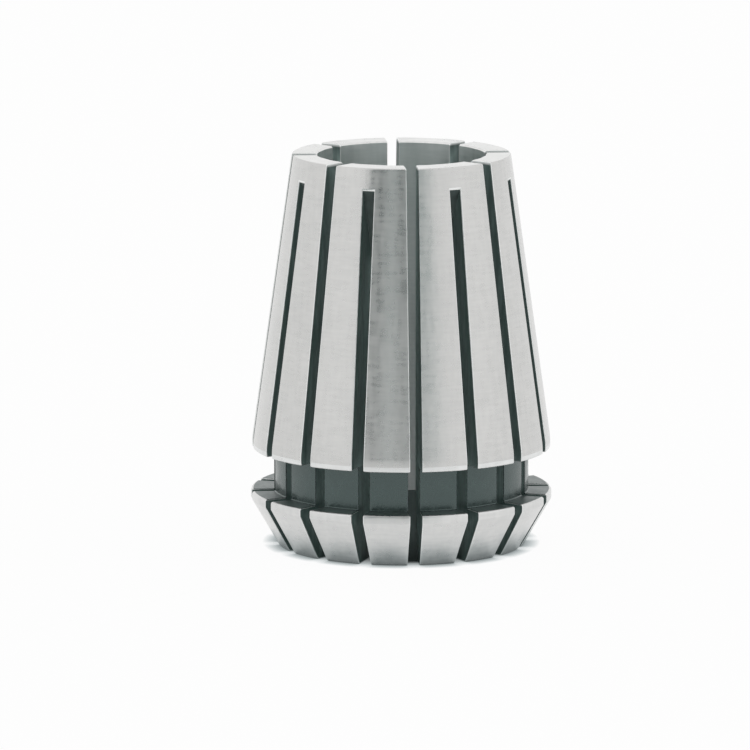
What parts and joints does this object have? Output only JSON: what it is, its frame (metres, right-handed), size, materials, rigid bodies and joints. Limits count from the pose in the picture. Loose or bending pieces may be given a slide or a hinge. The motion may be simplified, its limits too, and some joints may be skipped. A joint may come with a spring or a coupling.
{
  "type": "er collet",
  "caption": "Spring collet for a tool holder: 8 degree seat taper, snap groove, clamping cone and a straight bore, slotted alternately from both ends.",
  "frame": {"origin": "on the collet's axis, in the plane of the front face, where the tool goes in", "axes": "+Z along the axis from the front face to the small rear end; a slot that is open at the rear end lies on -Y"},
  "size_m": [0.026, 0.026, 0.034],
  "materials": {
    "spring_steel": "finely ground on the taper, rim and cone; darker as-hardened finish in the groove, the slots and the bore"
  },
  "bodies": {
    "root": {"collet": "spring_steel"}
  },
  "joints": []
}
